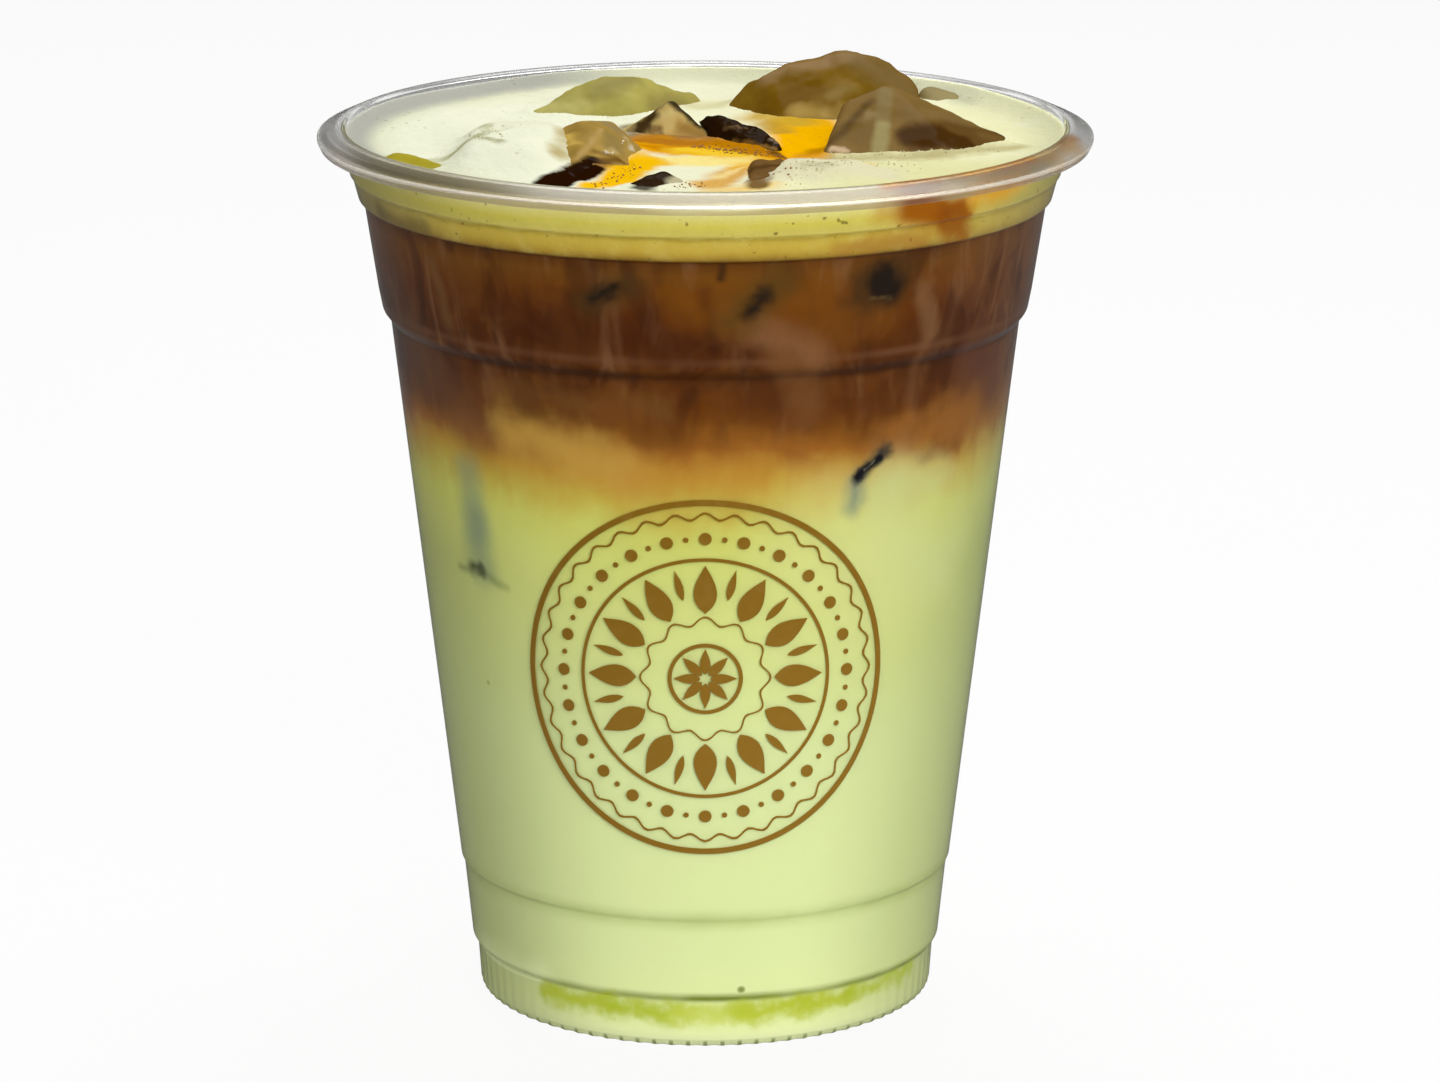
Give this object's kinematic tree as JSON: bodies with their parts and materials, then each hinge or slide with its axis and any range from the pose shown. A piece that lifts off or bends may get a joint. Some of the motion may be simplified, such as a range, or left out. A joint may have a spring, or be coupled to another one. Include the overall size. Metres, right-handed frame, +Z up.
{
  "type": "iced pistachio latte",
  "caption": "Layered iced latte in a clear tapered cup with a rolled rim: pale green milk under dark coffee, topped with foam and ice.",
  "frame": {"origin": "centre of the ring that the cup stands on", "axes": "+Z up along the cup's axis, -Y towards the printed front"},
  "size_m": [0.098, 0.098, 0.1189],
  "materials": {
    "clear_plastic": "clear thermoformed sheet, glossy",
    "pistachio_sauce": "thick yellow-green sauce, opaque, wet",
    "pistachio_milk": "pale green milk, opaque, wet",
    "coffee": "dark brown coffee, streaked with milk, wet",
    "milk_foam": "cream-green foam with fine bubbles and orange-brown streaks",
    "ice": "melting ice, wet, tinted brown and olive by the drink behind it",
    "print": "ochre-brown ink printed on the wall"
  },
  "bodies": {
    "root": {"cup": "clear_plastic", "pistachio_sauce": "pistachio_sauce", "pistachio_milk": "pistachio_milk", "coffee": "coffee", "milk_foam": "milk_foam", "ice_right": "ice", "ice_back_right": "ice", "ice_back_left": "ice", "ice_left": "ice", "ice_middle": "ice", "ice_ridge": "ice", "ice_far_left": "ice", "ice_far_right": "ice", "ice_front_left": "ice", "ice_front_right": "ice"}
  },
  "joints": []
}
